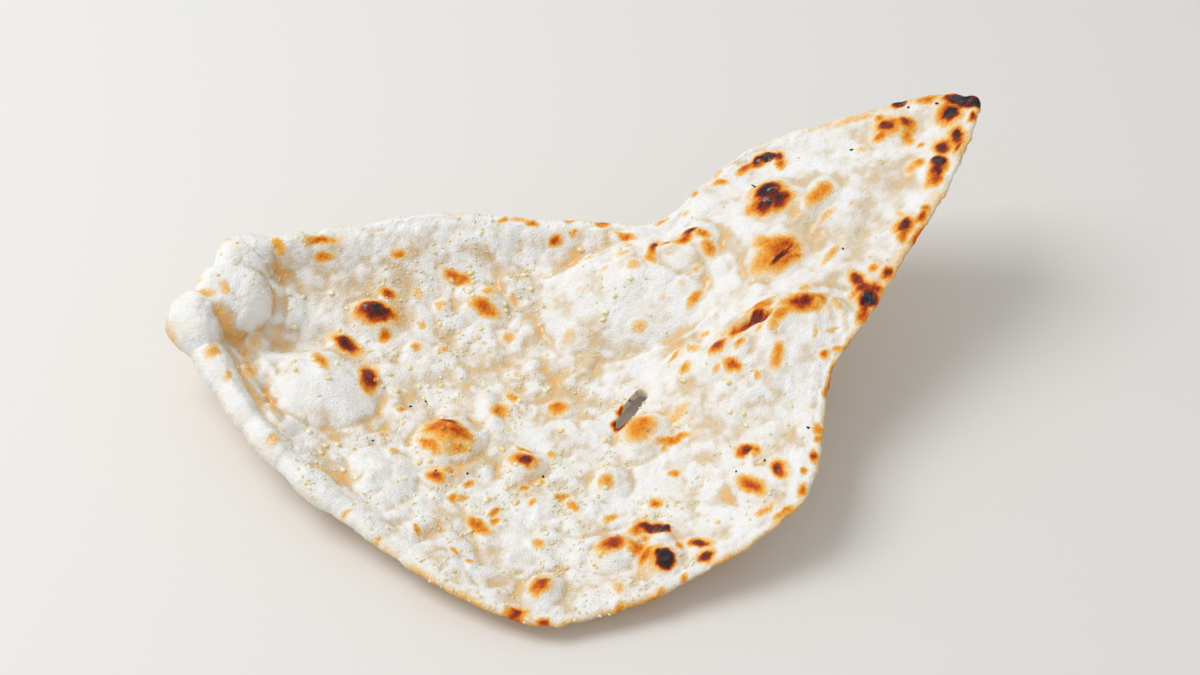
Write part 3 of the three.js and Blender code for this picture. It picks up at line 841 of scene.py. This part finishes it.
oil_and_shade = paint_oil_and_shade(places)
write_attribute(naan.data, "oil_and_shade", oil_and_shade)
print("Oil soaks", round(100 * float(np.mean(oil_and_shade[side > 0.99] > 0.5))), "% of the upper face")

# %% [markdown]
# Chopped garlic was strewn over the dough before it was baked. The largest bits are those of the solid,
# found by its rule and its random numbers. Finer ones are strewn between them, thickest in the rough dough
# of the round end, and left out on scorched spots, where they burned away. Each is a knobbly lump of a few
# faces, half sunk in the dough. They are one mesh.
# %% Garlic
LARGE_BITS = 84
FINE_BITS = 1300
TEAR_CLEARANCE = 14
LARGE_SIZES = ((1.1, 1.8), (0.9, 1.4), (0.8, 1.1))
LARGE_DRAWS = 600
FINE_SIZES = ((0.5, 1.2), (0.4, 0.9), (0.3, 0.5))
STREWN = ((-158, 150), (-110, 110))
CLUSTER_SIZE = 17
KNOBBLY = 0.3
HIGH_ABOVE = 200
SCORCHED_FROM = 0.5


def large_places():
    """Where the largest bits lie, with their half-sizes and turns, in the solid's own order."""
    draw = seeded_random(7)
    rows = np.array([[next(draw) for _ in range(8)] for _ in range(LARGE_DRAWS)])
    top = sheet_at(0.9 * np.sqrt(rows[:, 0]), rows[:, 1], np.ones(len(rows)))
    wanted = smoothstep(-top[:, 0], -90, 70) ** 1.5
    clear = np.hypot(*(top[:, :2] - TEAR).T) >= TEAR_CLEARANCE
    found = []
    for i in np.flatnonzero((rows[:, 7] < wanted) & clear)[:LARGE_BITS]:
        size = [lerp(*sizes, share) for sizes, share in zip(LARGE_SIZES, rows[i, 2:5])]
        found.append((top[i, :2], size, 0.8 * rows[i, 5], math.tau * rows[i, 6]))
    return found


def fine_places():
    draw = random.Random(5)
    found = []
    while len(found) < FINE_BITS:
        x, y = (draw.uniform(*span) for span in STREWN)
        cluster = smoothstep(noise.noise(Vector((x, y, 3)) / CLUSTER_SIZE), -0.25, 0.45)
        rough = liveliness(np.array([x]), np.array([y]))[0]
        wanted = 0.02 + 0.95 * cluster * smoothstep(-x, -50, 70) * rough**2
        size = [draw.uniform(*sizes) for sizes in FINE_SIZES]
        tilt, turn = draw.uniform(0, 0.8), draw.uniform(0, math.tau)
        if draw.random() < wanted:
            found.append(((x, y), size, tilt, turn))
    return found


def lump(bits, place, size, tilt, turn, rings):
    """One bit: a knobbly ball of few faces, flattened, tilted and turned."""
    made = bmesh.ops.create_icosphere(bits, subdivisions=rings, radius=1)["verts"]
    for vertex in made:
        vertex.co *= 1 + KNOBBLY * noise.noise(vertex.co * 1.3 + place)
    shape = Matrix.Rotation(turn, 4, "Z") @ Matrix.Rotation(tilt, 4, "X") @ Matrix.Diagonal((*size, 1))
    bmesh.ops.transform(bits, matrix=Matrix.Translation(place) @ shape, verts=made)


surface = BVHTree.FromObject(naan, bpy.context.evaluated_depsgraph_get())


def on_face(x, y):
    """The place on the upper face straight above or below x, y; nothing where the bread has no face."""
    return surface.ray_cast(Vector((x, y, HIGH_ABOVE)), Vector((0, 0, -1)))[0]


def off_the_char(found):
    """Leaves out the bits that would lie on a scorched spot."""
    spots = np.array([place for place, *_ in found])
    heat = spot_values(TOAST_AND_SHADE, spots[:, 0], spots[:, 1], 0.5, 1.4)
    return [bit for bit, hot in zip(found, heat > SCORCHED_FROM) if not hot]


def add_garlic():
    bits = bmesh.new()
    for found, rings in ((large_places(), 2), (off_the_char(fine_places()), 1)):
        for (x, y), size, tilt, turn in found:
            place = on_face(x, y)
            if place:
                lump(bits, place, size, tilt, turn, rings)
    return finish_mesh("garlic", bits)


garlic = add_garlic()
bit_points = read_points(garlic.data)
under_bits = spot_values(TOAST_AND_SHADE, bit_points[:, 0], bit_points[:, 1], 0.4, 1.3)
write_attribute(garlic.data, "toast_and_shade", under_bits)
print(len(garlic.data.polygons), "faces of garlic")

# %% [markdown]
# A few flakes of soot from the oven's wall stick to the bread. Each is a tiny flat lump, and they are one
# mesh too.
# %% Flakes of soot
SOOT = [
    (113.6, 11.8, 1.1, .8), (142, 12.3, .8, .6), (151, 5, .9, .7), (83, -27, .7, .5), (25, -89, .9, .6),
    (7, -87, .7, .5), (-4, -84, .8, .5), (-92.5, 25, .8, .6), (-85.5, 25, .6, .5), (-99.5, -12.5, .8, .5),
    (-89, -19.5, .6, .5), (-63, -35, .8, .5), (-115, 13, .6, .4), (72, 22, 2.4, .4),
]
SOOT_HEIGHT = 0.35


def add_soot():
    flakes = bmesh.new()
    draw = random.Random(2)
    for x, y, long, wide in SOOT:
        place = on_face(x, y)
        tilt, turn = draw.uniform(0, 0.3), draw.uniform(0, math.pi)
        lump(flakes, place, (long, wide, SOOT_HEIGHT), tilt, turn, 2)
    return finish_mesh("soot_flakes", flakes)


soot = add_soot()
print(len(SOOT), "flakes of soot")

# %% [markdown]
# The finish of each piece is a net of nodes. Colours are written as they look on a screen, from 0 to 255,
# and turned into the light that Blender works with. Sizes in a pattern are in millimetres.
# %% Helpers for finishes
def paint(red, green, blue):
    screen = [channel / 255 for channel in (red, green, blue)]
    return (*(c / 12.92 if c < 0.04 else ((c + 0.055) / 1.055) ** 2.4 for c in screen), 1)


def feed(net, socket, value):
    """Gives an input its value, or joins it to another node's output."""
    if isinstance(value, bpy.types.NodeSocket):
        net.links.new(value, socket)
    else:
        socket.default_value = value


def add_node(net, kind, values=None, **settings):
    made = net.nodes.new("ShaderNode" + kind)
    for name, setting in settings.items():
        setattr(made, name, setting)
    for name, value in (values or {}).items():
        feed(net, made.inputs[name], value)
    return made


def work_out(net, step, *values):
    return add_node(net, "Math", dict(enumerate(values)), operation=step).outputs[0]


def painted(net, name):
    """The number that is kept at each point under a name."""
    return add_node(net, "Attribute", attribute_name=name).outputs["Fac"]


def pattern(net, size, detail, rough=0.55):
    """Noise with waves of a size in millimetres, from about 0.25 to 0.75."""
    where = add_node(net, "TexCoord").outputs["Object"]
    values = {"Vector": where, "Scale": 1 / (size * MM), "Detail": detail, "Roughness": rough}
    return add_node(net, "TexNoise", values).outputs["Fac"]


def between(net, value, low, high, bottom=0.0, top=1.0):
    """Rises softly from bottom to top while the value goes from low to high."""
    values = {"Value": value, "From Min": low, "From Max": high, "To Min": bottom, "To Max": top}
    return add_node(net, "MapRange", values, interpolation_type="SMOOTHSTEP").outputs[0]


def mixed(net, share, first, second):
    made = add_node(net, "Mix", {"Factor": share}, data_type="RGBA")
    for name, value in (("A", first), ("B", second)):
        feed(net, next(s for s in made.inputs if s.name == name and s.type == "RGBA"), value)
    return next(s for s in made.outputs if s.type == "RGBA")


def colour_scale(net, value, stops):
    made = add_node(net, "ValToRGB", {"Fac": value})
    scale = made.color_ramp.elements
    scale[0].color = paint(*stops[0][1])
    scale[1].color = paint(*stops[-1][1])
    for position, colour in stops[1:-1]:
        scale.new(position).color = paint(*colour)
    return made.outputs["Color"]


def new_finish(name):
    finish = bpy.data.materials.new(name)
    finish.use_nodes = True
    return finish, finish.node_tree


def give(net, values):
    """Sets the main shader's inputs."""
    for name, value in values.items():
        feed(net, net.nodes["Principled BSDF"].inputs[name], value)


print("Toast's golden brown is", [round(c, 2) for c in paint(225, 140, 40)], "in light")

# %% [markdown]
# Baked dough is white where it is puffed, cream between, and honey-coloured where it is thin and oily; the
# cream and honey in the hollows are also painted shade, and the deepest honey is painted lighter, a painted
# glow in shaded pockets.
# Toasting takes it from pale gold through orange and brown to a bluish charcoal. The heat at a point picks
# the colour, after noise has freckled it. The underside was stuck to the oven's wall, so noise mottles all
# of it. Oily dough and the tar on scorched spots are glossier. A pattern is a size, how many finer layers
# it has, and how strong they are.
# %% The crust's finish
TOASTING = [
    (0.0, (250, 240, 226)), (0.08, (249, 228, 198)), (0.17, (248, 209, 148)), (0.27, (247, 186, 84)),
    (0.37, (242, 154, 26)), (0.47, (224, 116, 4)), (0.58, (194, 70, 0)), (0.7, (138, 38, 0)),
    (0.82, (80, 24, 14)), (0.92, (44, 24, 30)), (1.0, (30, 28, 38)),
]
# Painted shade and painted light: the cream and beige stops darken the hollows as shade, and the last stop is
# painted brighter, a glow in shaded pockets.
SOAK_AND_SHADE_COLOURS = [
    (0.0, (253, 253, 251)), (0.3, (243, 237, 228)), (0.55, (228, 212, 186)), (0.8, (230, 200, 152)),
    (1.0, (248, 194, 118)),
]
BAKED = (17, 4, 0.5)
SCORCHED = (5.5, 1, 0.4)
FRECKLES = (1.1, 6, 0.75)
OIL_FILM = (6, 5, 0.6)
GREASE = (4, 3)
TAR = (2.5, 3)
SKIN = (0.8, 4, 0.6)
PORES = (3.2, 2)
CRUST_ROUGHNESS = (0.52, 0.32)
CRUST = {
    "Coat Roughness": 0.2, "Specular IOR Level": 0.3, "Subsurface Weight": 0.35,
    "Subsurface Radius": (1.0, 0.7, 0.4), "Subsurface Scale": 1.4 * MM,
}


def freckled_heat(net):
    """The painted toast or the underside's mottling, with freckles."""
    under = between(net, painted(net, "side"), -1.0, -0.2, 1.0, 0.0)
    baked = between(net, pattern(net, *BAKED), 0.35, 0.7, 0.03, 0.24)
    scorched = between(net, pattern(net, *SCORCHED), 0.58, 0.74, 0.0, 0.72)
    mottled = work_out(net, "MULTIPLY", under, work_out(net, "MAXIMUM", baked, scorched))
    heat = work_out(net, "MAXIMUM", painted(net, "toast_and_shade"), mottled)
    freckles = work_out(net, "MULTIPLY_ADD", pattern(net, *FRECKLES), 0.56, -0.28)
    wander = work_out(net, "MULTIPLY", freckles, between(net, heat, 0.0, 0.2))
    return work_out(net, "ADD", heat, wander)


def uneven_oil_and_shade(net):
    wander = work_out(net, "MULTIPLY_ADD", pattern(net, *OIL_FILM), 0.9, -0.38)
    return work_out(net, "ADD", painted(net, "oil_and_shade"), wander)


def gloss(net, heat, soaked_and_shaded):
    """A coat in patches of grease and of tar."""
    grease = between(net, pattern(net, *GREASE), 0.4, 0.6)
    tar = between(net, pattern(net, *TAR), 0.48, 0.6)
    greasy = work_out(net, "MULTIPLY", between(net, soaked_and_shaded, 0.35, 0.8), grease)
    tarry = work_out(net, "MULTIPLY", between(net, heat, 0.6, 0.8), tar)
    return work_out(net, "MAXIMUM", greasy, tarry)


def skin_bump(net):
    coarse = work_out(net, "MULTIPLY", pattern(net, *PORES), 1.6)
    height = work_out(net, "ADD", pattern(net, *SKIN), coarse)
    return add_node(net, "Bump", {"Height": height, "Strength": 0.6, "Distance": 1.0 * MM}).outputs[0]


def crust_finish():
    finish, net = new_finish("baked_crust")
    heat = freckled_heat(net)
    soaked_and_shaded = uneven_oil_and_shade(net)
    dough = colour_scale(net, soaked_and_shaded, SOAK_AND_SHADE_COLOURS)
    colour = mixed(net, between(net, heat, 0.0, 0.16), dough, colour_scale(net, heat, TOASTING))
    roughness = between(net, soaked_and_shaded, 0.2, 0.9, *CRUST_ROUGHNESS)
    give(net, {"Base Color": colour, "Roughness": roughness})
    give(net, {"Coat Weight": gloss(net, heat, soaked_and_shaded), "Normal": skin_bump(net), **CRUST})
    return finish


naan.data.materials.append(crust_finish())
print("The crust has", len(naan.data.materials[0].node_tree.nodes), "nodes")

# %% [markdown]
# Garlic that has baked in oil is pale yellow and a little see-through, and browner where it lies on toast.
# Soot is black and matt.
# %% Garlic and soot finishes
GARLIC = {
    "Roughness": 0.32, "Subsurface Weight": 0.4, "Subsurface Radius": (1.0, 0.8, 0.5),
    "Subsurface Scale": 1.5 * MM,
}
RAW_GARLIC = ((255, 244, 208), (250, 222, 158))
BROWNED_GARLIC = (214, 128, 40)
SOOT_COLOURS = ((20, 17, 18), (60, 42, 36))


def garlic_finish():
    finish, net = new_finish("baked_garlic")
    pale, yellow = (paint(*colour) for colour in RAW_GARLIC)
    raw = mixed(net, between(net, pattern(net, 6, 2), 0.35, 0.65), pale, yellow)
    browned = between(net, painted(net, "toast_and_shade"), 0.1, 0.6)
    give(net, {"Base Color": mixed(net, browned, raw, paint(*BROWNED_GARLIC)), **GARLIC})
    return finish


def soot_finish():
    finish, net = new_finish("soot")
    black, brown = (paint(*colour) for colour in SOOT_COLOURS)
    give(net, {"Base Color": mixed(net, pattern(net, 0.5, 2), black, brown), "Roughness": 0.8})
    return finish


garlic.data.materials.append(garlic_finish())
soot.data.materials.append(soot_finish())
print("Finishes:", [material.name for material in bpy.data.materials])

# %% [markdown]
# The pieces now go from millimetres to metres, and ride with the bread. The dressed bread stands in for
# the solid.
# %% Hand the pieces over
for piece in (naan, garlic, soot):
    piece.data.transform(Matrix.Scale(MM, 4))
    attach(piece, "root")
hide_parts("naan")
print("Size of the dressed bread:", [round(side / MM, 1) for side in naan.dimensions], "mm")

# %% [markdown]
# A pale floor, a large soft light from behind on the left, and an even white light all round, as near a
# window. The floor lies a hair below the bread, because two faces at the same height show through each
# other.
# %% Floor and light
FLOOR_SIDE = 4.0
FLOOR_GAP = 0.0002
FLOOR_COLOUR = (232, 230, 226)
FLOOR_ROUGHNESS = 0.7
WINDOW = {"place": (-0.75, 0.6, 1.45), "side": 1.0, "power": 17.0}
ROOM_LIGHT = 0.545


def add_floor():
    made = bmesh.new()
    flat = bmesh.ops.create_grid(made, x_segments=1, y_segments=1, size=FLOOR_SIDE / 2)["verts"]
    bmesh.ops.translate(made, verts=flat, vec=(0, 0, -FLOOR_GAP))
    floor = finish_mesh("floor", made)
    finish, net = new_finish("pale_floor")
    give(net, {"Base Color": paint(*FLOOR_COLOUR), "Roughness": FLOOR_ROUGHNESS})
    floor.data.materials.append(finish)


def add_window():
    lamp = bpy.data.lights.new("window", "AREA")
    lamp.size = WINDOW["side"]
    lamp.energy = WINDOW["power"]
    window = bpy.data.objects.new("window", lamp)
    window.location = WINDOW["place"]
    window.rotation_euler = (-window.location).to_track_quat("-Z", "Y").to_euler()
    bpy.context.scene.collection.objects.link(window)


def light_room():
    room = bpy.data.worlds.new("room")
    room.use_nodes = True
    backdrop = room.node_tree.nodes["Background"]
    backdrop.inputs["Color"].default_value = (1, 1, 1, 1)
    backdrop.inputs["Strength"].default_value = ROOM_LIGHT
    bpy.context.scene.world = room
    bpy.context.scene.view_settings.view_transform = "Standard"


add_floor()
add_window()
light_room()
print("The window gives", WINDOW["power"], "watts, and the room", ROOM_LIGHT, "of white")
